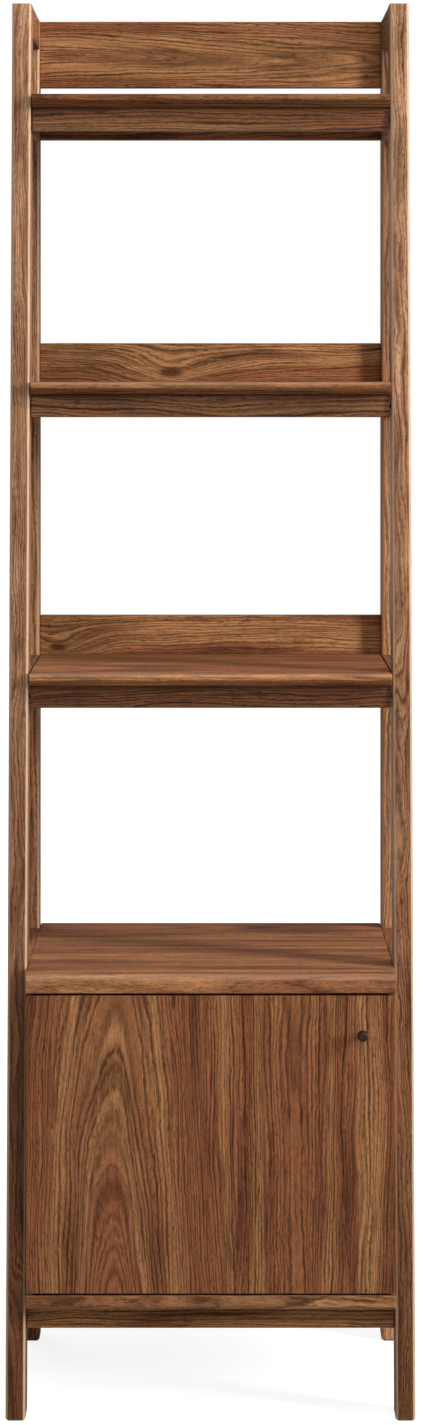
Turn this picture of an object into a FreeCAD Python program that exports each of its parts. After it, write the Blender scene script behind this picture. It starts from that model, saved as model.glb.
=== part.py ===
import FreeCAD, Part
import os

Vector = FreeCAD.Vector

# Ladder bookcase: leaning front legs and upright rear legs carry three open shelves over a one-door cabinet.
# Lengths are in millimetres. Reaches are measured forward from the back plane of the rear legs.

# Overall form.
overall_height = 1813.0
overall_width = 520.0
front_foot_reach = 394.0
front_top_reach = 250.0
cabinet_height = 567.0
cabinet_reach = 400.0
top_shelf_drop = 121.0
base_clearance = 106.0
bay_count = 3

# Legs, foot glides and side rails.
leg_thickness = 25.0
front_leg_depth = 50.0
rear_leg_depth = 44.0
leg_edge_radius = 4.0
glide_height = 2.0
glide_inset = 2.0
glide_corner_radius = 3.0
glide_nail_diameter = 2.4
glide_nail_length = 14.0
rail_thickness = 22.0
rail_edge_radius = 1.0
top_rail_height = 40.0

# Open shelves, their aprons and the boards behind them.
shelf_thickness = 16.0
shelf_overhang = 24.0
shelf_nose_radius = 5.0
shelf_nose_height = 8.0
shelf_bevel_reach = 14.0
shelf_end_gap = 1.8
board_edge_radius = 1.2
apron_height = 30.0
apron_thickness = 18.0
apron_setback = 6.0
rear_apron_height = 26.0
back_board_thickness = 16.0
back_board_recess = 10.0
back_lip_height = 53.0
top_panel_gap = 30.0

# Cabinet carcass and base.
cabinet_top_thickness = 24.0
cabinet_nose_radius = 10.0
cabinet_bottom_thickness = 18.0
cabinet_bottom_nose_radius = 6.5
carcass_end_gap = 0.4
cabinet_side_thickness = 16.0
cabinet_back_thickness = 4.0
cabinet_back_recess = 8.0
groove_depth = 6.0
groove_clearance = 0.2
base_apron_height = 36.0
base_apron_setback = 32.0

# Door and knob.
door_thickness = 16.0
door_setback = 2.0
door_side_gap = 0.8
door_top_gap = 3.0
door_bottom_gap = 2.5
door_back_gap = 3.0
door_edge_radius = 1.0
knob_edge_distance = 42.0
knob_drop = 48.0
knob_diameter = 13.0
knob_neck_diameter = 7.0
knob_neck_length = 7.0
knob_flare_length = 5.0
knob_head_length = 10.0
knob_round_radius = 3.0
knob_screw_diameter = 4.0
knob_screw_grip = 12.0
knob_screw_head_diameter = 8.0
knob_screw_head_height = 2.4

# Pivot hinges let into the top and bottom edges of the door.
pivot_edge_distance = 6.0
hinge_length = 42.0
hinge_width = 12.0
hinge_thickness = 2.5
hinge_end_margin = 5.0
hinge_pin_diameter = 5.0
hinge_pin_overrun = 2.0
hinge_pin_end_gap = 1.0
pivot_clearance = 0.05
washer_diameter = 10.0
washer_clearance = 0.1
hinge_screw_shares = (0.45, 0.8)

# Magnetic catch under the cabinet top, and its strike on the door.
catch_edge_distance = 85.0
catch_length = 44.0
catch_height = 13.0
catch_depth = 18.0
catch_edge_radius = 1.5
catch_screw_length = 24.0
catch_screw_share = 0.42
magnet_length = 28.0
magnet_height = 6.0
magnet_depth = 10.0
magnet_proud = 0.6
strike_length = 40.0
strike_height = 12.0
strike_thickness = 1.5
strike_gap = 0.3

# Fixings.
fit_clearance = 0.1
hole_end_gap = 0.5
dowel_diameter = 8.0
dowel_board_depth = 18.0
dowel_leg_depth = 14.0
rail_dowel_height_share = 0.75
rail_dowel_shares = (0.25, 0.75)
back_dowel_shares = (0.2, 0.8)
side_dowel_shares = (0.2, 0.8)
cam_diameter = 15.0
cam_depth = 12.5
cam_edge_distance = 24.0
cam_slot_length = 9.0
cam_slot_width = 1.6
cam_slot_depth = 1.5
cam_bolt_diameter = 6.0
cam_bolt_leg_depth = 12.0
cam_bolt_end_gap = 1.0
screw_head_diameter = 6.0
screw_head_height = 1.5
screw_shank_diameter = 3.0
screw_length = 14.0
screw_slot_length = 3.2
screw_slot_width = 0.7
screw_slot_depth = 0.9
carcass_bolt_diameter = 6.0
carcass_bolt_grip = 14.0
carcass_bolt_head_diameter = 14.0
carcass_bolt_head_height = 2.5
carcass_bolt_socket_diameter = 4.0
carcass_bolt_socket_depth = 1.5
carcass_bolt_rear_reach = 26.0
carcass_bolt_shares = (0.18, 0.8)

# Heights and reaches that follow from the sizes above.
inner_half = overall_width / 2 - leg_thickness
rail_half = inner_half + rail_thickness / 2
rail_height = shelf_thickness + apron_height
top_shelf_height = overall_height - top_shelf_drop
bay_pitch = (top_shelf_height - cabinet_height) / bay_count
base_top = base_clearance + base_apron_height
cabinet_floor = base_top + cabinet_bottom_thickness
cabinet_ceiling = cabinet_height - cabinet_top_thickness
cabinet_inner_half = inner_half - cabinet_side_thickness
back_board_front = back_board_recess + back_board_thickness
door_front = cabinet_reach - door_setback
door_back = door_front - door_thickness
door_half = inner_half - door_side_gap
door_low = cabinet_floor + door_bottom_gap
door_high = cabinet_ceiling - door_top_gap
carcass_front = door_back - door_back_gap
knob_x = door_half - knob_edge_distance
knob_z = door_high - knob_drop
pivot_x = pivot_edge_distance - door_half
pivot_reach = door_front - door_thickness / 2
overall_depth = door_front + knob_neck_length + knob_flare_length + knob_head_length
back_y = overall_depth / 2

shelf_names = ("upper", "middle", "lower")
sides = (("left", -1), ("right", 1))
across = Vector(1, 0, 0)
forward = Vector(0, -1, 0)
up = Vector(0, 0, 1)
quarter_turn = 90
close_enough = 1e-6

pieces = {}
groups = {}


def at(x, reach, z):
    """Point at an X value, a reach forward of the back plane and a height."""
    return Vector(x, back_y - reach, z)


def leg_front(z):
    """Reach of the leaning front leg's front face at a height."""
    return front_foot_reach + (front_top_reach - front_foot_reach) * z / overall_height


def leg_back(z):
    """Reach of the leaning front leg's back face at a height."""
    return leg_front(z) - front_leg_depth


def slab(x_range, reach_range, z_range):
    """Plain box between two X values, two reaches and two heights."""
    x_low, x_high = sorted(x_range)
    reach_low, reach_high = reach_range
    z_low, z_high = z_range
    return Part.makeBox(x_high - x_low, reach_high - reach_low, z_high - z_low, at(x_low, reach_high, z_low))


def prism(outline, x_range):
    """Solid with a side outline of (reach, height) points, between two X values."""
    x_low, x_high = sorted(x_range)
    points = [at(x_low, reach, z) for reach, z in outline]
    face = Part.Face(Part.makePolygon(points + points[:1]))
    return face.extrude(across * (x_high - x_low))


def rod(start, direction, length, radius):
    """Round bar from a point along a direction."""
    return Part.makeCylinder(radius, length, start, direction)


def ease(shape, radius):
    """Soften every edge of a board."""
    return shape.makeFillet(radius, shape.Edges)


def soften_leg(leg):
    """Round a leg's long edges, and leave its foot and its top square."""
    rising = [edge for edge in leg.Edges if abs(edge.Vertexes[-1].Z - edge.Vertexes[0].Z) > close_enough]
    return leg.makeFillet(leg_edge_radius, rising)


def edges_along_x(shape, reach, z):
    """Edges that run across the bookcase at a reach and a height."""
    line = at(0, reach, z)
    return [edge for edge in shape.Edges
            if all(abs(vertex.Y - line.y) < close_enough and abs(vertex.Z - line.z) < close_enough
                   for vertex in edge.Vertexes)]


def round_nose(board, front, edge_z, radius, inward):
    """Round a board's front edge, with the board above it (1) or below it (-1), and ease the other edges."""
    board = board.makeFillet(radius, edges_along_x(board, front, edge_z))
    upright_end = edge_z + inward * radius
    smooth = edges_along_x(board, front - radius, edge_z) + edges_along_x(board, front, upright_end)
    sharp = [edge for edge in board.Edges if not any(edge.isSame(other) for other in smooth)]
    return board.makeFillet(board_edge_radius, sharp)


def shelf_board(x_range, reach_range, z_range):
    """Shelf whose underside is bevelled up to a low nose, rounded on top."""
    back, front = reach_range
    bottom, top = z_range
    outline = [(back, bottom), (front - shelf_bevel_reach, bottom), (front, top - shelf_nose_height),
               (front, top), (back, top)]
    return round_nose(prism(outline, x_range), front, top, shelf_nose_radius, -1)


def cut(node, cutter):
    """Take a hole or a pocket out of a piece."""
    pieces[node] = pieces[node].cut(cutter)


def add_pin(group, face_point, direction, nodes, depths, radius):
    """Pin across the face between two pieces, with its hole in both."""
    start = face_point - direction * depths[0]
    length = sum(depths)
    groups.setdefault(group, []).append(rod(start, direction, length, radius))
    hole_start = start - direction * hole_end_gap
    hole = rod(hole_start, direction, length + 2 * hole_end_gap, radius + fit_clearance)
    for node in nodes:
        cut(node, hole)


def add_dowel(group, face_point, direction, board, carrier):
    """Wooden dowel from a board into the piece that carries it."""
    depths = (dowel_board_depth, dowel_leg_depth)
    add_pin(group, face_point, direction, (board, carrier), depths, dowel_diameter / 2)


def cross_slot(length, width, depth):
    """Cross recess at the origin, sunk along +Z."""
    bar = Part.makeBox(length, width, depth, Vector(-length / 2, -width / 2, 0))
    return bar.fuse(bar.rotated(Vector(), up, quarter_turn))


def placed(shape, point, direction):
    """Copy of a shape made at the origin along +Z, set at a point along a direction."""
    copy = shape.copy()
    copy.Placement = FreeCAD.Placement(point, FreeCAD.Rotation(up, direction))
    return copy


def screw_form(length, clearance):
    """Countersunk screw with its head's face at the origin and its tip along +Z."""
    head_radius = screw_head_diameter / 2 + clearance
    shank_radius = screw_shank_diameter / 2 + clearance
    head = Part.makeCone(head_radius, shank_radius, screw_head_height)
    return head.fuse(rod(Vector(), up, length + clearance, shank_radius)).removeSplitter()


def add_screw(group, point, direction, length, nodes):
    """Countersunk wood screw, with its hole in every piece that it passes."""
    slot = cross_slot(screw_slot_length, screw_slot_width, screw_slot_depth)
    groups.setdefault(group, []).append(placed(screw_form(length, 0).cut(slot), point, direction))
    for node in nodes:
        cut(node, placed(screw_form(length, fit_clearance), point, direction))


def add_cams(board, legs, reach_range, z):
    """Cam fitting at both ends of a cross board: a bolt in the leg, drawn up by a cam in the board's back."""
    reach_low, reach_high = reach_range
    middle = (reach_low + reach_high) / 2
    for (side, sign), leg in zip(sides, legs):
        outward = across * sign
        cam_point = at(sign * (inner_half - cam_edge_distance), reach_low, z)
        bolt_point = at(sign * (inner_half - cam_edge_distance), middle, z)
        bolt_start = bolt_point + outward * cam_bolt_end_gap
        bolt_length = cam_edge_distance - cam_bolt_end_gap + cam_bolt_leg_depth
        bolt_radius = cam_bolt_diameter / 2
        hole_length = bolt_length + cam_bolt_end_gap + hole_end_gap
        hole = rod(bolt_point, outward, hole_length, bolt_radius + fit_clearance)
        cam = rod(Vector(), up, cam_depth, cam_diameter / 2)
        cam = cam.cut(cross_slot(cam_slot_length, cam_slot_width, cam_slot_depth))
        groups.setdefault("cam_locks", []).append(placed(cam, cam_point, forward).cut(hole))
        groups.setdefault("cam_bolts", []).append(rod(bolt_start, outward, bolt_length, bolt_radius))
        cut(board, hole)
        cut(leg, hole)
        cut(board, rod(cam_point, forward, cam_depth, cam_diameter / 2 + fit_clearance))


def make_legs():
    """Four legs, cut level at the foot and at the top, each on a nailed glide."""
    z_range = (glide_height, overall_height)
    for side, sign in sides:
        x_range = (sign * inner_half, sign * overall_width / 2)
        lean = [(leg_front(z_range[0]), z_range[0]), (leg_front(z_range[1]), z_range[1]),
                (leg_back(z_range[1]), z_range[1]), (leg_back(z_range[0]), z_range[0])]
        pieces[side + "_front_leg"] = soften_leg(prism(lean, x_range))
        pieces[side + "_rear_leg"] = soften_leg(slab(x_range, (0, rear_leg_depth), z_range))
        feet = ((side + "_front_leg", leg_back(glide_height), leg_front(glide_height)),
                (side + "_rear_leg", 0, rear_leg_depth))
        for leg, foot_back, foot_front in feet:
            add_glide(leg, sign, foot_back, foot_front)


def add_glide(leg, sign, foot_back, foot_front):
    """Plastic pad under a leg, held by a nail."""
    x_range = (sign * (inner_half + glide_inset), sign * (overall_width / 2 - glide_inset))
    pad = slab(x_range, (foot_back + glide_inset, foot_front - glide_inset), (0, glide_height))
    corners = [edge for edge in pad.Edges if abs(edge.tangentAt(edge.FirstParameter).z) > close_enough]
    pad = pad.makeFillet(glide_corner_radius, corners)
    nail_foot = at(sign * (inner_half + leg_thickness / 2), (foot_back + foot_front) / 2, glide_height / 2)
    nail_length = glide_height / 2 + glide_nail_length
    nail = rod(nail_foot, up, nail_length, glide_nail_diameter / 2)
    groups.setdefault("foot_glides", []).append(pad.fuse(nail).removeSplitter())
    cut(leg, rod(nail_foot, up, nail_length + hole_end_gap, glide_nail_diameter / 2 + fit_clearance))


def add_side_rails(name, z_low, z_high):
    """Rail of each side frame, dowelled between its rear leg and its leaning front leg."""
    dowel_z = z_low + (z_high - z_low) * rail_dowel_height_share
    outline = [(rear_leg_depth, z_low), (leg_back(z_low), z_low),
               (leg_back(z_high), z_high), (rear_leg_depth, z_high)]
    for side, sign in sides:
        rail = side + "_" + name
        x_range = (sign * inner_half, sign * (inner_half + rail_thickness))
        pieces[rail] = ease(prism(outline, x_range), rail_edge_radius)
        dowels = side + "_frame_dowels"
        rear_end = at(sign * rail_half, rear_leg_depth, dowel_z)
        front_end = at(sign * rail_half, leg_back(dowel_z), dowel_z)
        add_dowel(dowels, rear_end, forward * -1, rail, side + "_rear_leg")
        add_dowel(dowels, front_end, forward, rail, side + "_front_leg")


def add_end_dowels(group, board, rail_name, z):
    """Dowels from both ends of a level board into the side rails."""
    rail_span = leg_back(z) - rear_leg_depth
    for side, sign in sides:
        for share in rail_dowel_shares:
            point = at(sign * inner_half, rear_leg_depth + rail_span * share, z)
            add_dowel(group, point, across * sign, board, side + "_" + rail_name)


def add_cross_board(name, legs, reach_range, z_range, end_gap=0):
    """Upright board between two legs, held at both ends by cam fittings."""
    x_range = (end_gap - inner_half, inner_half - end_gap)
    pieces[name] = ease(slab(x_range, reach_range, z_range), board_edge_radius)
    add_cams(name, legs, reach_range, sum(z_range) / 2)


def add_back_dowels(name, z_range):
    """Dowels above and below the cam fittings of a wide board behind a shelf."""
    z_low, z_high = z_range
    middle = back_board_recess + back_board_thickness / 2
    for side, sign in sides:
        for share in back_dowel_shares:
            point = at(sign * inner_half, middle, z_low + (z_high - z_low) * share)
            add_dowel("back_board_dowels", point, across * sign, name, side + "_rear_leg")


def make_shelves():
    """Three shelves on front aprons, each with a board behind it that is its lip or its rear apron."""
    x_range = (shelf_end_gap - inner_half, inner_half - shelf_end_gap)
    front_legs = ("left_front_leg", "right_front_leg")
    rear_legs = ("left_rear_leg", "right_rear_leg")
    rear_range = (back_board_recess, back_board_front)
    for index, name in enumerate(shelf_names):
        top = top_shelf_height - index * bay_pitch
        bottom = top - shelf_thickness
        apron_range = (bottom - apron_height, bottom)
        rail_name = name + "_side_rail"
        add_side_rails(rail_name, top - rail_height, top)
        apron_front = leg_front(sum(apron_range) / 2) - apron_setback
        apron_reaches = (apron_front - apron_thickness, apron_front)
        add_cross_board(name + "_front_apron", front_legs, apron_reaches, apron_range, shelf_end_gap)
        if index == 0:
            shelf_back = back_board_recess
            add_cross_board(name + "_rear_apron", rear_legs, rear_range, (bottom - rear_apron_height, bottom))
        else:
            shelf_back = back_board_front
            board_range = (apron_range[0], top + back_lip_height)
            add_cross_board(name + "_back_board", rear_legs, rear_range, board_range)
            add_back_dowels(name + "_back_board", board_range)
        reaches = (shelf_back, leg_front(top) + shelf_overhang)
        pieces[name + "_shelf"] = shelf_board(x_range, reaches, (bottom, top))
        add_end_dowels("shelf_dowels", name + "_shelf", rail_name, (bottom + top) / 2)
    panel_range = (top_shelf_height + top_panel_gap, overall_height)
    add_cross_board("top_back_panel", rear_legs, rear_range, panel_range)
    add_back_dowels("top_back_panel", panel_range)
    add_side_rails("top_rail", overall_height - top_rail_height, overall_height)


def make_base():
    """Low rails and aprons that tie the legs together under the cabinet."""
    z_range = (base_clearance, base_top)
    add_side_rails("base_rail", base_clearance, base_clearance + rail_height)
    front = leg_front(sum(z_range) / 2) - base_apron_setback
    add_cross_board("base_front_apron", ("left_front_leg", "right_front_leg"),
                    (front - apron_thickness, front), z_range)
    add_cross_board("base_rear_apron", ("left_rear_leg", "right_rear_leg"),
                    (back_board_recess, back_board_recess + apron_thickness), z_range)


def make_carcass():
    """Cabinet top, bottom, sides and grooved-in back."""
    x_range = (carcass_end_gap - inner_half, inner_half - carcass_end_gap)
    reaches = (0, cabinet_reach)
    pieces["cabinet_top"] = round_nose(slab(x_range, reaches, (cabinet_ceiling, cabinet_height)),
                                       cabinet_reach, cabinet_height, cabinet_nose_radius, -1)
    pieces["cabinet_bottom"] = round_nose(slab(x_range, reaches, (base_top, cabinet_floor)),
                                          cabinet_reach, base_top, cabinet_bottom_nose_radius, 1)
    add_side_rails("cabinet_rail", cabinet_height - rail_height, cabinet_height)
    add_end_dowels("shelf_dowels", "cabinet_top", "cabinet_rail", (cabinet_ceiling + cabinet_height) / 2)
    side_middle = inner_half - cabinet_side_thickness / 2
    for side, sign in sides:
        name = side + "_cabinet_side"
        side_range = (sign * cabinet_inner_half, sign * inner_half)
        pieces[name] = slab(side_range, (0, carcass_front), (cabinet_floor, cabinet_ceiling))
        for share in side_dowel_shares:
            reach = carcass_front * share
            foot = at(sign * side_middle, reach, cabinet_floor)
            head = at(sign * side_middle, reach, cabinet_ceiling)
            add_dowel("carcass_dowels", foot, up * -1, name, "cabinet_bottom")
            add_dowel("carcass_dowels", head, up, name, "cabinet_top")
        for share in carcass_bolt_shares:
            z = cabinet_floor + (cabinet_ceiling - cabinet_floor) * share
            add_carcass_bolt(name, side + "_rear_leg", sign, carcass_bolt_rear_reach, z)
            add_carcass_bolt(name, side + "_front_leg", sign, leg_front(z) - front_leg_depth / 2, z)
    panel_half = cabinet_inner_half + groove_depth
    panel_back, panel_front = cabinet_back_recess, cabinet_back_recess + cabinet_back_thickness
    z_low, z_high = cabinet_floor - groove_depth, cabinet_ceiling + groove_depth
    pieces["cabinet_back"] = slab((-panel_half, panel_half), (panel_back, panel_front), (z_low, z_high))
    groove = slab((-panel_half - groove_clearance, panel_half + groove_clearance),
                  (panel_back - groove_clearance, panel_front + groove_clearance),
                  (z_low - groove_clearance, z_high + groove_clearance))
    for node in ("cabinet_top", "cabinet_bottom", "left_cabinet_side", "right_cabinet_side"):
        cut(node, groove)


def add_carcass_bolt(panel, leg, sign, reach, z):
    """Flat-headed bolt from inside the cabinet through its side and into a leg."""
    outward = across * sign
    seat = at(sign * cabinet_inner_half, reach, z)
    shank_length = cabinet_side_thickness + carcass_bolt_grip
    head = rod(seat, outward * -1, carcass_bolt_head_height, carcass_bolt_head_diameter / 2)
    shank = rod(seat, outward, shank_length, carcass_bolt_diameter / 2)
    socket = rod(seat - outward * carcass_bolt_head_height, outward, carcass_bolt_socket_depth,
                 carcass_bolt_socket_diameter / 2)
    groups.setdefault("carcass_bolts", []).append(head.fuse(shank).removeSplitter().cut(socket))
    hole = rod(seat, outward, shank_length + hole_end_gap, carcass_bolt_diameter / 2 + fit_clearance)
    cut(panel, hole)
    cut(leg, hole)


def make_door():
    """Door that covers the cabinet between its top and its bottom, with its knob and the knob's screw."""
    pieces["door"] = ease(slab((-door_half, door_half), (door_back, door_front), (door_low, door_high)),
                          door_edge_radius)
    seat = at(knob_x, door_front, knob_z)
    neck = rod(seat, forward, knob_neck_length, knob_neck_diameter / 2)
    flare_start = seat + forward * knob_neck_length
    flare = Part.makeCone(knob_neck_diameter / 2, knob_diameter / 2, knob_flare_length, flare_start, forward)
    head_start = flare_start + forward * knob_flare_length
    head = rod(head_start, forward, knob_head_length, knob_diameter / 2)
    tip = head_start + forward * knob_head_length
    rim = [edge for edge in head.Edges if abs(edge.CenterOfMass.y - tip.y) < close_enough]
    head = head.makeFillet(knob_round_radius, rim)
    pieces["door_knob"] = neck.fuse([flare, head]).removeSplitter()
    screw_seat = at(knob_x, door_back, knob_z)
    shank_length = door_thickness + knob_screw_grip
    shank = rod(screw_seat, forward, shank_length, knob_screw_diameter / 2)
    screw_head = rod(screw_seat, forward * -1, knob_screw_head_height, knob_screw_head_diameter / 2)
    slot = placed(cross_slot(screw_slot_length, screw_slot_width, screw_slot_depth),
                  screw_seat - forward * knob_screw_head_height, forward)
    pieces["knob_screw"] = shank.fuse(screw_head).removeSplitter().cut(slot)
    hole = rod(screw_seat, forward, shank_length + hole_end_gap, knob_screw_diameter / 2 + fit_clearance)
    cut("door", hole)
    cut("door_knob", hole)


def add_hinge(name, board, board_face, door_edge, into_door):
    """Pivot hinge: a plate with a pin in the carcass, and a leaf with the pin's hole in the door's edge."""
    x_range = (pivot_x - hinge_end_margin, pivot_x - hinge_end_margin + hinge_length)
    reaches = (pivot_reach - hinge_width / 2, pivot_reach + hinge_width / 2)
    into_board = into_door * -1
    plate_back = board_face + into_board.z * hinge_thickness
    leaf_back = door_edge + into_door.z * hinge_thickness
    pin_root = at(pivot_x, pivot_reach, plate_back)
    pin_start = at(pivot_x, pivot_reach, board_face)
    pin_radius = hinge_pin_diameter / 2
    gap = abs(door_edge - board_face)
    pin_length = gap + hinge_thickness + hinge_pin_overrun
    plate = slab(x_range, reaches, sorted((board_face, plate_back)))
    pin = rod(pin_root, into_door, hinge_thickness + pin_length, pin_radius)
    pieces[name + "_hinge_plate"] = plate.fuse(pin).removeSplitter()
    leaf = slab(x_range, reaches, sorted((door_edge, leaf_back)))
    pin_hole = rod(pin_start, into_door, pin_length, pin_radius + pivot_clearance)
    pieces[name + "_hinge_leaf"] = leaf.cut(pin_hole)
    cut("door", rod(pin_start, into_door, pin_length + hinge_pin_end_gap, pin_radius + hinge_pin_end_gap))
    pocket_x = (x_range[0] - fit_clearance, x_range[1] + fit_clearance)
    pocket_reaches = (reaches[0] - fit_clearance, reaches[1] + fit_clearance)
    cut(board, slab(pocket_x, pocket_reaches, sorted((board_face, plate_back))))
    cut("door", slab(pocket_x, pocket_reaches, sorted((door_edge, leaf_back))))
    for share in hinge_screw_shares:
        screw_x = x_range[0] + hinge_length * share
        plate_seat = at(screw_x, pivot_reach, board_face)
        leaf_seat = at(screw_x, pivot_reach, door_edge)
        add_screw("hinge_plate_screws", plate_seat, into_board, screw_length, (name + "_hinge_plate", board))
        add_screw("hinge_leaf_screws", leaf_seat, into_door, screw_length, (name + "_hinge_leaf", "door"))


def make_hinges():
    """Upper and lower pivot hinges, with a washer on the lower pin that carries the door."""
    add_hinge("upper", "cabinet_top", cabinet_ceiling, door_high, up * -1)
    add_hinge("lower", "cabinet_bottom", cabinet_floor, door_low, up)
    seat = at(pivot_x, pivot_reach, cabinet_floor)
    ring = rod(seat, up, door_bottom_gap, washer_diameter / 2)
    hole = rod(seat, up, door_bottom_gap, hinge_pin_diameter / 2 + washer_clearance)
    pieces["hinge_washer"] = ring.cut(hole)


def make_catch():
    """Magnet in a housing screwed up under the cabinet top, and a steel strike on the back of the door."""
    centre_x = cabinet_inner_half - catch_edge_distance
    strike_back = door_back - strike_thickness
    magnet_front = strike_back - strike_gap
    housing_front = magnet_front - magnet_proud
    underside = cabinet_ceiling - catch_height
    middle = (underside + cabinet_ceiling) / 2
    x_range = (centre_x - catch_length / 2, centre_x + catch_length / 2)
    housing = slab(x_range, (housing_front - catch_depth, housing_front), (underside, cabinet_ceiling))
    pieces["catch_housing"] = ease(housing, catch_edge_radius)
    magnet_x = (centre_x - magnet_length / 2, centre_x + magnet_length / 2)
    magnet_z = (middle - magnet_height / 2, middle + magnet_height / 2)
    pieces["catch_magnet"] = slab(magnet_x, (magnet_front - magnet_depth, magnet_front), magnet_z)
    cut("catch_housing", slab((magnet_x[0] - fit_clearance, magnet_x[1] + fit_clearance),
                              (magnet_front - magnet_depth - fit_clearance, magnet_front),
                              (magnet_z[0] - fit_clearance, magnet_z[1] + fit_clearance)))
    for side, sign in sides:
        screw_x = centre_x + sign * catch_length * catch_screw_share
        seat = at(screw_x, housing_front - catch_depth / 2, underside)
        add_screw("catch_screws", seat, up, catch_screw_length, ("catch_housing", "cabinet_top"))
    strike_x = (centre_x - strike_length / 2, centre_x + strike_length / 2)
    strike_z = (middle - strike_height / 2, middle + strike_height / 2)
    pieces["catch_strike"] = slab(strike_x, (strike_back, door_back), strike_z)
    strike_seat = at(centre_x, strike_back, middle)
    add_screw("strike_screw", strike_seat, forward, screw_length, ("catch_strike", "door"))


make_legs()
make_shelves()
make_base()
make_carcass()
make_door()
make_hinges()
make_catch()

os.makedirs("parts", exist_ok=True)
for group, solids in groups.items():
    pieces[group] = Part.makeCompound(solids)
for node, shape in pieces.items():
    shape.exportStep("parts/" + node + ".step")
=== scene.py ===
import math

import bpy
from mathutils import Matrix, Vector


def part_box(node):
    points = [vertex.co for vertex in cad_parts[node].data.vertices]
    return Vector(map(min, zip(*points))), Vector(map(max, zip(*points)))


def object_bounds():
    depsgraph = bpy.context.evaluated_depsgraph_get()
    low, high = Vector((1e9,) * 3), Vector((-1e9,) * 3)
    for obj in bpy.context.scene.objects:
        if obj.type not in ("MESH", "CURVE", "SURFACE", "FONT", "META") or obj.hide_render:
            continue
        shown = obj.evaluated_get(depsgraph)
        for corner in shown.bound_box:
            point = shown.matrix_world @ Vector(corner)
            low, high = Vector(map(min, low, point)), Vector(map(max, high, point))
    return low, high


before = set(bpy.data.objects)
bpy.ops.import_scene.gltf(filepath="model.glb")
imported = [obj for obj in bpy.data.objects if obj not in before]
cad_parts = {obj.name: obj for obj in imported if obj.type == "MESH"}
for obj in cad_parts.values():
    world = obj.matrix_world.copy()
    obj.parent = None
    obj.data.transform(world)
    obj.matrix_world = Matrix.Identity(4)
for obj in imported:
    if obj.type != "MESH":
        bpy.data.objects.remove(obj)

cad_low, cad_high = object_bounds()

# The photograph's frame in pixels, and the level view that its edges give, in metres
photo_width = 423
photo_height = 1425
focal_pixels = 3319
horizon_row = 378
vanishing_column = 210.5
eye_height = 1.322
eye_to_back = 4.600
sensor_width = 36.0

# Studio lamps: place, aim, width and height in metres, power in watts
lamps = {
    "side": ((4.00, -1.85, 2.50), (0.0, 0.0, 1.10), 0.8, 2.4, 258.0),
    "front": ((0.40, -4.40, 2.60), (0.0, 0.0, 1.00), 1.4, 1.0, 58.0),
    "sky": ((0.30, -1.60, 4.20), (0.0, 0.0, 0.80), 2.4, 1.6, 42.0),
    "rear": ((-2.00, 3.20, 1.30), (0.0, 0.0, 0.90), 2.2, 2.2, 45.0),
}
white = (1.0, 1.0, 1.0, 1.0)
ambient_strength = 0.12
backdrop_strength = 1.0
floor_reach = 14.0
floor_lift = 0.84
floor_shadow_reach = 0.7
floor_white_reach = 2.4
floor_cloud_width = 0.4
floor_roughness = 0.8
floor_cloud_roughness = 0.1
floor_bump_strength = 0.02
floor_bump_depth = 0.001
floor_gloss = 0.1


def linear(red, green, blue):
    """A colour as it is picked on a screen, 0 to 255, in the linear values that shaders take."""
    shares = (red / 255, green / 255, blue / 255)
    return tuple(s / 12.92 if s <= 0.04045 else ((s + 0.055) / 1.055) ** 2.4 for s in shares)


class Field:
    """A number or colour that varies over a surface: a socket of a node tree, with ordinary arithmetic."""

    def __init__(self, tree, socket):
        self.tree = tree
        self.socket = socket

    def __add__(self, other):
        return math_node("ADD", self, other)

    def __sub__(self, other):
        return math_node("SUBTRACT", self, other)

    def __rsub__(self, other):
        return math_node("SUBTRACT", other, self)

    def __mul__(self, other):
        return math_node("MULTIPLY", self, other)

    def __truediv__(self, other):
        return math_node("DIVIDE", self, other)

    __radd__ = __add__
    __rmul__ = __mul__


def feed(tree, socket, value):
    """Links a field to a socket, or sets a plain value on it."""
    if isinstance(value, Field):
        tree.links.new(value.socket, socket)
    elif socket.type == "RGBA":
        socket.default_value = (*value, 1.0)
    else:
        socket.default_value = value


def math_node(operation, *values):
    """The result of one of Blender's math operations on fields and plain numbers."""
    tree = next(value.tree for value in values if isinstance(value, Field))
    node = tree.nodes.new("ShaderNodeMath")
    node.operation = operation
    for socket, value in zip(node.inputs, values):
        feed(tree, socket, value)
    return Field(tree, node.outputs[0])


def root(value):
    return math_node("SQRT", value)


def size_of(value):
    """The value without its sign."""
    return root(value * value)


def part_of_one(value):
    return math_node("FRACT", value)


def whole(value):
    return math_node("FLOOR", value)


def greater(value, limit):
    return math_node("GREATER_THAN", value, limit)


def bell(*offsets):
    """One at the middle, falling off smoothly with the offsets, which are in widths."""
    square = sum(offset * offset for offset in offsets)
    return math_node("EXPONENT", square * -1.0)


def rise(value, low, high):
    """Zero below low and one above high, with a smooth step between."""
    node = value.tree.nodes.new("ShaderNodeMapRange")
    node.interpolation_type = "SMOOTHSTEP"
    feed(value.tree, node.inputs["Value"], value)
    feed(value.tree, node.inputs["From Min"], low)
    feed(value.tree, node.inputs["From Max"], high)
    return Field(value.tree, node.outputs["Result"])


# Noise: its mean, and the detail and roughness that it is drawn with
noise_middle = 0.5
smooth_detail = 1.0
usual_detail = 2.0
fine_detail = 3.0
finest_detail = 4.0
usual_grit = 0.5
more_grit = 0.6
most_grit = 0.7


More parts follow.
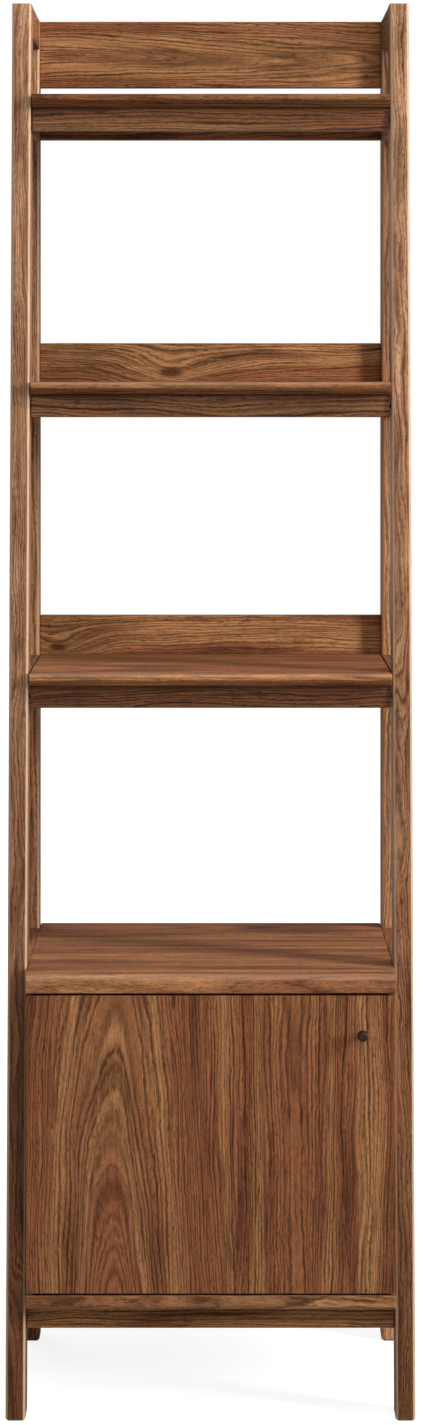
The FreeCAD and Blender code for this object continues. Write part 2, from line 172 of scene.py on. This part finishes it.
def noise(tree, place, detail=usual_detail, roughness=usual_grit):
    """Soft noise about its middle, at a place given in its own widths."""
    joined = tree.nodes.new("ShaderNodeCombineXYZ")
    for socket, value in zip(joined.inputs, place):
        feed(tree, socket, value)
    node = tree.nodes.new("ShaderNodeTexNoise")
    tree.links.new(joined.outputs[0], node.inputs["Vector"])
    node.inputs["Scale"].default_value = 1.0
    node.inputs["Detail"].default_value = detail
    node.inputs["Roughness"].default_value = roughness
    return Field(tree, node.outputs["Fac"])


def even_noise(tree, place, width, detail=usual_detail, roughness=usual_grit, start=0.0):
    """Noise of the same width in all directions."""
    return noise(tree, [p / width + start for p in place], detail, roughness)


def dice(value):
    """A fixed random number for each whole number."""
    node = value.tree.nodes.new("ShaderNodeTexWhiteNoise")
    node.noise_dimensions = "1D"
    feed(value.tree, node.inputs["W"], value)
    return Field(value.tree, node.outputs["Value"])


def socket_by_identifier(sockets, identifier):
    return next(socket for socket in sockets if socket.identifier == identifier)


def blend(share, first, second):
    """The first colour where the share is 0 and the second where it is 1."""
    tree = share.tree
    node = tree.nodes.new("ShaderNodeMix")
    node.data_type = "RGBA"
    feed(tree, socket_by_identifier(node.inputs, "Factor_Float"), share)
    feed(tree, socket_by_identifier(node.inputs, "A_Color"), first)
    feed(tree, socket_by_identifier(node.inputs, "B_Color"), second)
    return Field(tree, socket_by_identifier(node.outputs, "Result_Color"))


def scaled(colour, factor):
    """A colour made lighter or darker by a factor that varies."""
    tree = factor.tree
    node = tree.nodes.new("ShaderNodeVectorMath")
    node.operation = "SCALE"
    feed(tree, node.inputs[0], colour)
    feed(tree, node.inputs["Scale"], factor)
    return Field(tree, node.outputs[0])


def new_material(name):
    """A material and its tree, with only the main shader and the output in it."""
    material = bpy.data.materials.new(name)
    material.use_nodes = True
    return material, material.node_tree


def coordinates(tree, output="Object"):
    """The three coordinates of a point on the piece at rest, or of its normal."""
    source = tree.nodes.new("ShaderNodeTexCoord")
    split = tree.nodes.new("ShaderNodeSeparateXYZ")
    tree.links.new(source.outputs[output], split.inputs[0])
    return [Field(tree, socket) for socket in split.outputs]


edge_samples = 4
edge_turn_limits = (0.02, 0.25)


def edge_share(tree, width):
    """One on the sharp edges of a piece, zero on its faces."""
    rounded = tree.nodes.new("ShaderNodeBevel")
    rounded.samples = edge_samples
    rounded.inputs["Radius"].default_value = width
    plain = tree.nodes.new("ShaderNodeNewGeometry")
    compare = tree.nodes.new("ShaderNodeVectorMath")
    compare.operation = "DOT_PRODUCT"
    tree.links.new(rounded.outputs["Normal"], compare.inputs[0])
    tree.links.new(plain.outputs["Normal"], compare.inputs[1])
    likeness = Field(tree, compare.outputs["Value"])
    return rise(1.0 - likeness, *edge_turn_limits)


def finish_surface(tree, colour, roughness, height, bump_strength, bump_depth, **constants):
    """Joins colour, roughness and relief to the main shader and sets its constant values."""
    shader = tree.nodes["Principled BSDF"]
    feed(tree, shader.inputs["Base Color"], colour)
    feed(tree, shader.inputs["Roughness"], roughness)
    bump = tree.nodes.new("ShaderNodeBump")
    bump.inputs["Strength"].default_value = bump_strength
    bump.inputs["Distance"].default_value = bump_depth
    feed(tree, bump.inputs["Height"], height)
    tree.links.new(bump.outputs["Normal"], shader.inputs["Normal"])
    for name, value in constants.items():
        shader.inputs[name.replace("_", " ")].default_value = value


# Walnut: colours as picked on a screen
walnut_ruddy = linear(143, 91, 60)
walnut_golden = linear(170, 121, 80)
walnut_plum = linear(88, 50, 38)
walnut_vein = linear(50, 23, 13)
# Pale wood, also used as painted light and sheen on the legs
walnut_pale_and_painted_light = linear(182, 140, 108)
walnut_olive = linear(172, 134, 104)
# Worn edges, also used as a painted highlight on the edges and the nose
walnut_worn_edge_and_highlight = linear(188, 152, 128)
# Painted sheen on the legs' rounded edges
walnut_sheen = linear(220, 186, 154)

# Walnut: how the grain bends, in metres
sway_length = 0.45
sway_width = 0.09
sway_reach = 0.034
wander_length = 0.13
wander_width = 0.035
wander_reach = 0.012
ripple_length = 0.012
ripple_width = 0.004
ripple_reach = 0.0024
seed_step = 7.31

# Walnut: knots, in their own sizes
knot_stretch = 2.2
knot_push = 0.9
knot_tightness = 3.2

# Walnut: the size of each mark in metres, and the noise levels between which it sets in
band_width = 0.030
band_length = 1.2
band_limits = (0.40, 0.66)
plum_width = 0.022
plum_length = 0.30
plum_limits = (0.52, 0.70)
mottle_width = 0.016
mottle_length = 0.11
mottle_limits = (0.38, 0.62)
ring_width = 0.0050
ring_length = 0.50
vein_width = 0.0070
vein_length = 0.30
vein_level = 0.56
vein_spread = 0.030
fade_width = 0.005
fade_length = 0.05
fade_limits = (0.22, 0.48)
streak_width = 0.006
streak_length = 0.25
fibre_width = 0.0011
fibre_length = 0.03
dash_width = 0.0010
dash_length = 0.010
dash_limits = (0.55, 0.70)
dash_in_rings = 0.35
pore_width = 0.0008
pore_length = 0.003
pore_limits = (0.58, 0.72)
wear_width = 0.01
wear_length = 0.03
wear_limits = (0.15, 0.55)
edge_width = 0.0012

# Walnut: growth lines, with their pitch in metres and the rest in pitches or shares
line_pitch = 0.0037
line_spread = 0.18
line_drift = 7.0
line_drift_width = 0.022
line_drift_length = 0.6
line_middle = 0.5
faintest_line = 0.35
flat_line = 0.5
glow_offset = 0.42

# Walnut: how much of its colour each mark gives
plum_share = 0.60
line_share = 0.92
vein_share = 0.45
dash_share = 0.55
pore_share = 0.50
knot_share = 0.80
knot_limits = (0.2, 0.9)
# Edges lightened by wear and by a painted edge highlight
wear_and_highlight_share = 0.75
# Painted highlight on a nose that faces up and forward, and painted sheen on rounded edges that turn to the
# side
nose_highlight_share = 0.28
nose_highlight_limits = (0.2, 0.95)
round_sheen_share = 0.60
round_sheen_limits = (0.2, 0.9)

# Walnut: how much each mark lightens the wood
mottle_gain = 0.6
fibre_gain = 1.4
fibre_base = 0.32
streak_gain = 0.4
streak_base = 0.80
glow_gain = 0.25

# Walnut: roughness and relief
matt_roughness = 0.62
gloss_smoothing = 0.6
fibre_roughness = 0.16
line_roughness = 0.08
worn_smoothing = 0.1
fibre_relief = 0.4
line_relief = 0.4
pore_relief = 0.6
dash_relief = 0.5
walnut_bump_strength = 0.25
walnut_bump_depth = 0.0004


class Figure:
    """How a board was cut and finished.

    The heart of the tree lies across the board and below its face, in metres from the board's middle, and
    rises with the slope. A leaf is a second sheet of veneer beyond a joint, with a heart, depth and slope of
    its own. Knots have a place along and across the board and a size. The board's lightness, its pale share
    and its mottle have a value for each end of the board, and a painted light can lighten its middle. The
    lightness is partly the board's own tone and partly painted shade and painted light: darker feet and
    aprons are painted shade, lighter rear legs are painted light. The pale share is partly pale wood and
    partly painted light and sheen. A shelf's nose can get a painted highlight where it turns from top to
    front, and rounded legs a painted sheen on their rounded edges.
    """

    def __init__(self, heart=0.0, below=0.05, slope=0.0, lean=0.0, sway=1.0, leaf=None, knots=(),
                 tone_and_painted_shading=(1.0, 1.0), painted_middle_light=0.0, pale=None, mottle=None, gold=0.0,
                 painted_nose_highlight=False, rounded=False, gloss=0.02):
        self.heart = heart
        self.below = below
        self.slope = slope
        self.lean = lean
        self.sway = sway
        self.leaf = leaf
        self.knots = knots
        self.tone_and_painted_shading = tone_and_painted_shading
        self.painted_middle_light = painted_middle_light
        self.pale = pale
        self.mottle = mottle
        self.gold = gold
        self.painted_nose_highlight = painted_nose_highlight
        self.rounded = rounded
        self.gloss = gloss


axis_names = "XYZ"


def grain_axes(node, along_axis):
    """The piece's axes along the grain, across it on the wide face, and through the board."""
    low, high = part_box(node)
    size = high - low
    order = sorted(range(3), key=lambda axis: -size[axis])
    if along_axis is not None:
        first = axis_names.index(along_axis)
        order.remove(first)
        order.insert(0, first)
    return order, (low + high) / 2, size


class Grain:
    """A point's place along, across and through its board, and its reach from the heart of the tree."""

    def __init__(self, tree, node, figure, seed, along_axis):
        order, middle, size = grain_axes(node, along_axis)
        point = coordinates(tree)
        self.tree = tree
        self.length = size[order[0]]
        self.start = seed * seed_step
        self.along, self.across, self.through = (point[axis] - middle[axis] for axis in order)
        if figure.lean:
            self.across = self.across - self.along * figure.lean
        heart, depth, slope = self.cut(figure)
        self.across = self.across + self.bend(sway_length, sway_width) * (sway_reach * figure.sway)
        self.across = self.across + self.bend(wander_length, wander_width) * (wander_reach * figure.sway)
        self.side = self.across - heart
        below = self.through + self.along * slope + depth
        self.reach = root(self.side * self.side + below * below)
        self.reach = self.reach + self.bend(ripple_length, ripple_width, fine_detail) * ripple_reach
        self.knots = None
        for knot in figure.knots:
            self.add_knot(*knot)

    def cut(self, figure):
        """Where the heart lies; beyond a veneer joint the second leaf has its own, and its own noise."""
        if not figure.leaf:
            return figure.heart, figure.below, figure.slope
        joint, *second_cut = figure.leaf
        second = greater(self.across, joint)
        first_cut = (figure.heart, figure.below, figure.slope)
        self.start = second * seed_step + self.start
        return [second * (other - one) + one for one, other in zip(first_cut, second_cut)]

    def add_knot(self, along, across, size):
        """Bends the rings round a knot and marks its dark core."""
        far = (self.along - along) / (size * knot_stretch)
        off = (self.across - across) / size
        self.reach = self.reach + bell(far, off) * (size * knot_push)
        core = bell(far * knot_tightness, off * knot_tightness)
        self.knots = core if self.knots is None else self.knots + core

    def stretched(self, length, width, detail=usual_detail, roughness=usual_grit):
        """Noise drawn out along the grain."""
        place = (self.along / length + self.start, self.across / width + self.start,
                 self.through / width - self.start)
        return noise(self.tree, place, detail, roughness)

    def bend(self, length, width, detail=usual_detail):
        """Noise drawn out along the grain, to both sides of zero."""
        return self.stretched(length, width, detail) - noise_middle

    def ringed(self, width, length, detail=usual_detail):
        """Noise that follows the growth rings."""
        place = (self.reach / width + self.start, self.along / length + self.start, self.start)
        return noise(self.tree, place, detail)

    def between_ends(self, values):
        """A value that goes evenly from one end of the board to the other."""
        low, high = values
        return self.along * ((high - low) / self.length) + (high + low) / 2


def growth_lines(grain, fade):
    """Dark lines where growth rings meet the surface, and the lighter wood beside each."""
    drift = (grain.ringed(line_drift_width, line_drift_length) - noise_middle) * line_drift
    turn = grain.reach / line_pitch + drift
    steep = size_of(grain.side) / grain.reach
    strength = dice(whole(turn)) * (1.0 - faintest_line) + faintest_line
    strength = strength * (steep * (1.0 - flat_line) + flat_line)
    line = bell((part_of_one(turn) - line_middle) / line_spread) * strength * fade
    glow = bell((part_of_one(turn + glow_offset) - line_middle) / line_spread)
    return line, glow


def ground_colour(grain, figure):
    """The wood's colour under its marks: ruddy and golden bands, plum stripes, mottled parts, and pale parts
    that are partly painted light and sheen.
    """
    band = rise(grain.ringed(band_width, band_length, smooth_detail) + figure.gold, *band_limits)
    plum = rise(grain.ringed(plum_width, plum_length, smooth_detail), *plum_limits)
    colour = blend(band, walnut_ruddy, walnut_golden)
    colour = blend(plum * plum_share, colour, walnut_plum)
    # Paler towards one end of the board: partly pale wood and partly painted light and sheen
    if figure.pale:
        colour = blend(grain.between_ends(figure.pale), colour, walnut_pale_and_painted_light)
    if figure.mottle:
        patch = rise(grain.stretched(mottle_length, mottle_width), *mottle_limits)
        share = grain.between_ends(figure.mottle)
        colour = blend(patch * share, colour, walnut_olive)
        colour = scaled(colour, (patch - noise_middle) * share * mottle_gain + 1.0)
    return colour


def board_tone_and_painted_shading(grain, figure):
    """How light the board is at a point along it: its own tone with painted shade and painted light, and a
    painted light that lightens its middle.
    """
    tone_and_painted_shading = grain.between_ends(figure.tone_and_painted_shading)
    # Painted light: the middle of the board is made lighter.
    if figure.painted_middle_light:
        toward_end = grain.along * (2 / grain.length)
        tone_and_painted_shading = tone_and_painted_shading * ((1.0 - toward_end * toward_end) * figure.painted_middle_light + 1.0)
    return tone_and_painted_shading


def painted_highlight_colour(tree, colour, figure):
    """A shelf's nose gets a painted highlight where it turns from top to front, and a leg's rounded edges get
    a painted sheen.

    Two parts of a normal have a product of one half at most, so twice the product goes from 0 to 1.
    """
    if figure.painted_nose_highlight:
        normal = coordinates(tree, "Normal")
        # Painted highlight: lighter where the nose faces up and forward
        rubbed = rise(normal[1] * normal[2] * -2.0, *nose_highlight_limits)
        colour = blend(rubbed * nose_highlight_share, colour, walnut_worn_edge_and_highlight)
    if figure.rounded:
        normal = coordinates(tree, "Normal")
        # Painted sheen: lighter where a rounded edge turns to the side
        rubbed = rise(size_of(normal[0] * normal[1]) * 2.0, *round_sheen_limits)
        colour = blend(rubbed * round_sheen_share, colour, walnut_sheen)
    return colour


def walnut(node, figure, seed, along_axis=None):
    """Oiled walnut with growth rings, colour bands, streaks, fibres, pores and edges lightened by wear and a
    painted edge highlight, with painted shade and light along the board and painted highlights on noses and
    rounded edges.
    """
    material, tree = new_material("walnut_" + node)
    grain = Grain(tree, node, figure, seed, along_axis)
    fade = rise(grain.stretched(fade_length, fade_width), *fade_limits)
    line, glow = growth_lines(grain, fade)
    ring = grain.ringed(ring_width, ring_length)
    vein_noise = grain.ringed(vein_width, vein_length, smooth_detail)
    vein = bell((vein_noise - vein_level) / vein_spread) * fade
    streak = grain.stretched(streak_length, streak_width)
    fibre = grain.stretched(fibre_length, fibre_width, fine_detail, more_grit)
    dash_noise = grain.stretched(dash_length, dash_width, smooth_detail)
    dash = rise(dash_noise + (ring - noise_middle) * dash_in_rings, *dash_limits)
    pore = rise(grain.stretched(pore_length, pore_width, smooth_detail), *pore_limits)
    # Wear on the edges, also standing as a painted edge highlight
    worn = edge_share(tree, edge_width) * rise(grain.stretched(wear_length, wear_width), *wear_limits)

    colour = ground_colour(grain, figure)
    colour = blend(line * line_share, colour, walnut_vein)
    colour = blend(vein * vein_share, colour, walnut_vein)
    colour = blend(dash * dash_share, colour, walnut_vein)
    colour = blend(pore * pore_share, colour, walnut_vein)
    if grain.knots is not None:
        colour = blend(rise(grain.knots, *knot_limits) * knot_share, colour, walnut_vein)
    light = (fibre * fibre_gain + fibre_base) * (streak * streak_gain + streak_base)
    light = light * (glow * glow_gain + 1.0)
    # The board's own tone, with painted shade and painted light along it
    colour = scaled(colour, light * board_tone_and_painted_shading(grain, figure))
    # Edges lightened by wear and by a painted edge highlight
    colour = blend(worn * wear_and_highlight_share, colour, walnut_worn_edge_and_highlight)
    # Painted highlight on noses and painted sheen on rounded edges
    colour = painted_highlight_colour(tree, colour, figure)

    roughness = fibre * fibre_roughness + (matt_roughness - figure.gloss * gloss_smoothing)
    roughness = roughness + line * line_roughness - worn * worn_smoothing
    height = fibre * fibre_relief - line * line_relief - pore * pore_relief - dash * dash_relief
    finish_surface(tree, colour, roughness, height, walnut_bump_strength, walnut_bump_depth,
                   Specular_IOR_Level=figure.gloss)
    return material


# Metal and plastic: widths in metres or in grain widths, and shares
cloud_widths = 14
fine_share = 0.6
cloud_share = 0.4
spot_limits = (0.35, 0.65)
fine_roughness = 0.2
cloud_roughness = 0.12
mean_unevenness = 0.16
fitting_edge_width = 0.0008
fitting_wear_limits = (0.4, 0.6)
fitting_wear_share = 0.7
fitting_wear_smoothing = 0.12
cloud_relief = 0.5
fine_bump_depth = 0.0003


def speckled(name, base, spot, width, roughness, metallic=0.0, stretch=(1, 1, 1), relief=0.15,
             worn_to=None):
    """Metal or plastic with cloudy tone, fine grain or brushing, and edges rubbed to another colour."""
    material, tree = new_material(name)
    place = coordinates(tree)
    fine = noise(tree, [p / (width * s) for p, s in zip(place, stretch)], fine_detail, more_grit)
    cloud = even_noise(tree, place, width * cloud_widths, fine_detail)
    colour = blend(rise(fine * fine_share + cloud * cloud_share, *spot_limits), base, spot)
    rough = fine * fine_roughness + cloud * cloud_roughness + (roughness - mean_unevenness)
    if worn_to:
        worn = edge_share(tree, fitting_edge_width) * rise(cloud, *fitting_wear_limits)
        colour = blend(worn * fitting_wear_share, colour, worn_to)
        rough = rough - worn * fitting_wear_smoothing
    height = fine + cloud * cloud_relief
    finish_surface(tree, colour, rough, height, relief, fine_bump_depth, Metallic=metallic)
    return material


# Beech dowels: colours as picked on a screen, lengths in metres
beech_light = linear(214, 176, 130)
beech_dark = linear(190, 148, 102)
beech_ray = linear(158, 112, 72)
beech_fibre_width = 0.0009
beech_ray_width = 0.0022
beech_ray_limits = (0.58, 0.70)
beech_ray_share = 0.5
beech_ray_relief = 0.5
beech_roughness = 0.5
beech_fibre_roughness = 0.2
beech_bump_strength = 0.2


def beech(name):
    """Pale dowel wood with fine fibres and short ray flecks."""
    material, tree = new_material(name)
    place = coordinates(tree)
    fibre = even_noise(tree, place, beech_fibre_width, fine_detail)
    ray = rise(even_noise(tree, place, beech_ray_width), *beech_ray_limits)
    colour = blend(fibre, beech_light, beech_dark)
    colour = blend(ray * beech_ray_share, colour, beech_ray)
    rough = fibre * beech_fibre_roughness + beech_roughness
    height = fibre - ray * beech_ray_relief
    finish_surface(tree, colour, rough, height, beech_bump_strength, fine_bump_depth)
    return material


# Hardboard: colours as picked on a screen, lengths in metres
hardboard_light = linear(128, 88, 58)
hardboard_dark = linear(104, 68, 44)
print_dark = linear(96, 58, 38)
print_light = linear(140, 94, 60)
pressed_fibre_width = 0.0035
pressed_mat_width = 0.05
screen_width = 0.0011
print_grain_width = 0.006
print_grain_length = 0.3
print_line_width = 0.004
print_line_length = 0.4
print_line_limits = (0.55, 0.70)
print_line_share = 0.5
print_roughness = 0.42
bare_roughness = 0.25
pressed_fibre_roughness = 0.12
pressed_mat_gain = 0.5
pressed_mat_base = 0.75
pressed_fibre_relief = 0.6
screen_relief = 0.4
hardboard_bump_strength = 0.25
hardboard_bump_depth = 0.0004
hardboard_gloss = 0.3
facing_back = 0.5


def hardboard(node, seed):
    """Thin back panel: printed walnut on its front, bare brown hardboard with pressed fibres behind."""
    material, tree = new_material("hardboard_" + node)
    place = coordinates(tree)
    normal = coordinates(tree, "Normal")
    fibre = even_noise(tree, place, pressed_fibre_width, finest_detail, most_grit)
    mat = even_noise(tree, place, pressed_mat_width, fine_detail, start=seed)
    screen = even_noise(tree, place, screen_width, smooth_detail)
    bare = blend(fibre, hardboard_light, hardboard_dark)
    bare = scaled(bare, mat * pressed_mat_gain + pressed_mat_base)
    x, y, z = place
    grain_spot = (x / print_grain_width, y / print_grain_width, z / print_grain_length + seed)
    line_spot = (x / print_line_width, y / print_line_width, z / print_line_length)
    lines = rise(noise(tree, line_spot), *print_line_limits)
    printed = blend(noise(tree, grain_spot, finest_detail, more_grit), print_dark, print_light)
    printed = blend(lines * print_line_share, printed, walnut_vein)
    behind = greater(normal[1], facing_back)
    colour = blend(behind, printed, bare)
    rough = behind * bare_roughness + fibre * pressed_fibre_roughness + print_roughness
    height = fibre * pressed_fibre_relief + screen * screen_relief
    finish_surface(tree, colour, rough, height, hardboard_bump_strength, hardboard_bump_depth,
                   Specular_IOR_Level=hardboard_gloss)
    return material


def dress(material, *nodes):
    """Gives pieces their material through their objects' material slots."""
    for node in nodes:
        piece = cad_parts[node]
        if not piece.material_slots:
            piece.data.materials.append(material)
        for slot in piece.material_slots:
            slot.link = "OBJECT"
            slot.material = material


# Cuts of the boards that come in sets
sides = ("left", "right")
levels = ("upper", "middle", "lower")
rails = ("top_rail", "upper_side_rail", "middle_side_rail", "lower_side_rail", "cabinet_rail", "base_rail")
leg_lean = 0.0796
front_leg_heart = {"left": 0.05, "right": 0.07}
# Painted shade and light on the legs: the front legs darken towards the foot, the right one is lit up in its
# middle, and the rear legs are made lighter
front_leg_tone_and_painted_shade = {"left": (0.46, 0.96), "right": (0.34, 0.80)}
front_leg_painted_middle_light = {"left": 0.08, "right": 0.47}
rear_leg_tone_and_painted_light = {"left": (1.40, 1.45), "right": (1.40, 0.85)}
cabinet_side_heart = {"left": 0.03, "right": -0.05}
shelf_heart = {"upper": 0.05, "middle": -0.01, "lower": -0.07}
# Painted shade and light on the shelves and aprons: the upper shelf and the aprons are made darker, the lower
# shelf lighter
shelf_tone_and_painted_shading = {"upper": 0.60, "middle": 0.78, "lower": 1.14}
apron_tone_and_painted_shade = {"upper": 0.66, "middle": 0.54, "lower": 0.52}
hardboard_seed = 3.7


def even(value):
    """The same value at both ends of a board."""
    return value, value


def side_frame_figures():
    """The cuts of the legs, cabinet sides and rails, with painted shade and light on the legs."""
    figures = {}
    for side in sides:
        # The front legs grow paler towards the top and the rear legs are paler: partly pale wood and partly
        # painted light and sheen
        figures[side + "_front_leg"] = Figure(
            heart=front_leg_heart[side], below=0.09, slope=0.012, lean=leg_lean, sway=2.2,
            tone_and_painted_shading=front_leg_tone_and_painted_shade[side], painted_middle_light=front_leg_painted_middle_light[side],
            pale=(0.0, 0.45), mottle=(0.05, 0.65), rounded=True, gloss=0.05)
        figures[side + "_rear_leg"] = Figure(
            heart=0.06, below=0.08, slope=0.01, tone_and_painted_shading=rear_leg_tone_and_painted_light[side], pale=(0.25, 0.35),
            rounded=True)
        figures[side + "_cabinet_side"] = Figure(heart=cabinet_side_heart[side], slope=0.05)
        for rail in rails:
            figures[side + "_" + rail] = Figure(heart=0.04, below=0.07, slope=0.02)
    return figures


def shelf_figures():
    """The cuts of the shelves and of the aprons under their fronts, with painted shade and light on them and
    a painted highlight on the middle and lower noses.
    """
    figures = {}
    for level in levels:
        figures[level + "_shelf"] = Figure(
            heart=shelf_heart[level], below=0.06, slope=0.03, sway=0.3,
            tone_and_painted_shading=even(shelf_tone_and_painted_shading[level]), painted_nose_highlight=level != "upper")
        figures[level + "_front_apron"] = Figure(
            heart=0.05, below=0.03, slope=0.02, tone_and_painted_shading=even(apron_tone_and_painted_shade[level]), gloss=0.1)
    return figures


def single_board_figures():
    """The cuts of the boards that come once, with their tone and their painted shade and light."""
    return {
        "upper_rear_apron": Figure(heart=0.04, slope=0.03, tone_and_painted_shading=even(1.15), gold=0.10, gloss=0.1),
        "top_back_panel": Figure(heart=-0.004, below=0.02, slope=0.06, tone_and_painted_shading=even(0.92), gold=0.08),
        "middle_back_board": Figure(heart=-0.07, below=0.03, slope=0.02, gold=0.08,
                                    knots=((-0.055, 0.006, 0.03),)),
        "lower_back_board": Figure(heart=-0.07, below=0.03, slope=-0.02, tone_and_painted_shading=even(1.08), gold=0.08,
                                   knots=((-0.21, 0.008, 0.022),)),
        "cabinet_top": Figure(heart=0.16, slope=0.015, sway=0.3, tone_and_painted_shading=even(1.05), painted_nose_highlight=True),
        "cabinet_bottom": Figure(heart=0.1, slope=0.02, tone_and_painted_shading=even(0.80), gold=0.12, gloss=0.1),
        "base_front_apron": Figure(heart=0.05, below=0.04, slope=0.02, tone_and_painted_shading=even(0.95), gold=0.10),
        "base_rear_apron": Figure(heart=0.05, below=0.06, slope=-0.02),
    }


def dress_wood():
    """Each wooden piece gets a cut of its own, with its tone and its painted shade and light."""
    figures = {**side_frame_figures(), **shelf_figures(), **single_board_figures()}
    for seed, (node, figure) in enumerate(figures.items(), 1):
        dress(walnut(node, figure, seed), node)
    # The door's lightness is partly painted shade
    door_figure = Figure(heart=-0.122, slope=0.10, tone_and_painted_shading=even(0.83), gold=-0.05,
                         leaf=(0.034, 0.105, 0.03, -0.012))
    dress(walnut("door", door_figure, len(figures) + 1, "Z"), "door")
    dress(hardboard("cabinet_back", hardboard_seed), "cabinet_back")


def dress_fittings():
    """Dowels, metal fittings and plastic pieces."""
    dress(beech("beech_dowels"),
          "left_frame_dowels", "right_frame_dowels", "back_board_dowels", "shelf_dowels", "carcass_dowels")
    dress(speckled("brushed_steel", linear(176, 177, 178), linear(148, 150, 152), width=0.0011,
                   roughness=0.36, metallic=1.0, stretch=(1, 1, 12), relief=0.12,
                   worn_to=linear(215, 216, 218)),
          "catch_strike")
    dress(speckled("bronzed_hinges", linear(66, 54, 44), linear(46, 37, 30), width=0.0011,
                   roughness=0.42, metallic=1.0, stretch=(1, 1, 8), worn_to=linear(128, 104, 78)),
          "upper_hinge_plate", "lower_hinge_plate", "upper_hinge_leaf", "lower_hinge_leaf")
    dress(speckled("zinc_plated_screws", linear(196, 194, 186), linear(160, 158, 150), width=0.0008,
                   roughness=0.34, metallic=1.0, worn_to=linear(226, 224, 216)),
          "hinge_plate_screws", "hinge_leaf_screws", "catch_screws", "strike_screw", "knob_screw",
          "carcass_bolts")
    dress(speckled("blackened_bolts", linear(48, 44, 41), linear(34, 31, 29), width=0.0009,
                   roughness=0.5, metallic=1.0, relief=0.2, worn_to=linear(92, 86, 80)),
          "cam_bolts")
    dress(speckled("cast_zinc", linear(168, 168, 166), linear(128, 128, 128), width=0.0016,
                   roughness=0.45, metallic=1.0, relief=0.3, worn_to=linear(205, 205, 202)),
          "cam_locks")
    dress(speckled("dark_bronze_knob", linear(52, 42, 36), linear(34, 27, 23), width=0.0010,
                   roughness=0.36, metallic=1.0, stretch=(1, 6, 1), relief=0.12,
                   worn_to=linear(120, 92, 66)),
          "door_knob")
    dress(speckled("brown_nylon", linear(66, 50, 40), linear(52, 39, 31), width=0.0012, roughness=0.42),
          "hinge_washer")
    dress(speckled("dark_plastic_glides", linear(38, 33, 30), linear(26, 22, 20), width=0.0009,
                   roughness=0.55, relief=0.3, worn_to=linear(74, 66, 60)),
          "foot_glides")
    dress(speckled("brown_plastic_catch", linear(92, 62, 42), linear(76, 50, 33), width=0.0009,
                   roughness=0.48, relief=0.25, worn_to=linear(128, 96, 72)),
          "catch_housing")
    dress(speckled("ferrite_magnet", linear(74, 74, 76), linear(50, 50, 52), width=0.0012,
                   roughness=0.5, metallic=0.6, relief=0.3, worn_to=linear(120, 120, 122)),
          "catch_magnet")


def light_path_share(tree):
    """One for rays from the camera, and for rays that mirrors and glass pass on to the backdrop."""
    paths = tree.nodes.new("ShaderNodeLightPath")
    camera_ray = Field(tree, paths.outputs["Is Camera Ray"])
    glossy_ray = Field(tree, paths.outputs["Is Glossy Ray"])
    clear_ray = Field(tree, paths.outputs["Is Transmission Ray"])
    return math_node("MAXIMUM", camera_ray, math_node("MAXIMUM", glossy_ray, clear_ray))


def make_world():
    """A white backdrop to look at, and a softer white room as light."""
    world = bpy.data.worlds.new("studio")
    world.use_nodes = True
    bpy.context.scene.world = world
    tree = world.node_tree
    room = tree.nodes["Background"]
    room.inputs["Color"].default_value = white
    seen = light_path_share(tree)
    feed(tree, room.inputs["Strength"], seen * (backdrop_strength - ambient_strength) + ambient_strength)


def make_floor():
    """A pale floor that keeps the soft shadow and runs into the white backdrop."""
    mesh = bpy.data.meshes.new("floor")
    corners = [(-floor_reach, -floor_reach, 0), (floor_reach, -floor_reach, 0),
               (floor_reach, floor_reach, 0), (-floor_reach, floor_reach, 0)]
    mesh.from_pydata(corners, [], [(0, 1, 2, 3)])
    floor = bpy.data.objects.new("floor", mesh)
    bpy.context.scene.collection.objects.link(floor)
    material, tree = new_material("pale_floor")
    place = coordinates(tree)
    cloud = even_noise(tree, place, floor_cloud_width, fine_detail)
    colour = blend(cloud, linear(176, 175, 173), linear(182, 181, 179))
    rough = cloud * floor_cloud_roughness + floor_roughness
    finish_surface(tree, colour, rough, cloud, floor_bump_strength, floor_bump_depth,
                   Specular_IOR_Level=floor_gloss)
    shader = tree.nodes["Principled BSDF"]
    shader.inputs["Emission Color"].default_value = white
    away = rise(root(place[0] * place[0] + place[1] * place[1]), floor_shadow_reach, floor_white_reach)
    lift = away * (1.0 - floor_lift) + floor_lift
    feed(tree, shader.inputs["Emission Strength"], light_path_share(tree) * lift)
    mesh.materials.append(material)


def make_lamps():
    """Large soft lamps: the key from the right, weaker ones to fill, from above and from behind."""
    for name, (place, aim, width, height, power) in lamps.items():
        data = bpy.data.lights.new(name, "AREA")
        data.shape = "RECTANGLE"
        data.size = width
        data.size_y = height
        data.energy = power
        lamp = bpy.data.objects.new(name, data)
        lamp.location = place
        direction = Vector(aim) - Vector(place)
        lamp.rotation_euler = direction.to_track_quat("-Z", "Y").to_euler()
        bpy.context.scene.collection.objects.link(lamp)


def make_camera():
    """A level camera in front, shifted so that the horizon falls on the photograph's row."""
    data = bpy.data.cameras.new("camera")
    data.sensor_width = sensor_width
    data.lens = focal_pixels / photo_height * sensor_width
    data.shift_x = (photo_width / 2 - vanishing_column) / photo_height
    data.shift_y = (horizon_row - photo_height / 2) / photo_height
    camera = bpy.data.objects.new("camera", data)
    camera.location = (0.0, cad_high.y - eye_to_back, eye_height)
    camera.rotation_euler = (math.pi / 2, 0.0, 0.0)
    bpy.context.scene.collection.objects.link(camera)
    bpy.context.scene.camera = camera


bpy.context.scene.view_settings.view_transform = "Standard"
dress_wood()
dress_fittings()
make_world()
make_floor()
make_lamps()
make_camera()
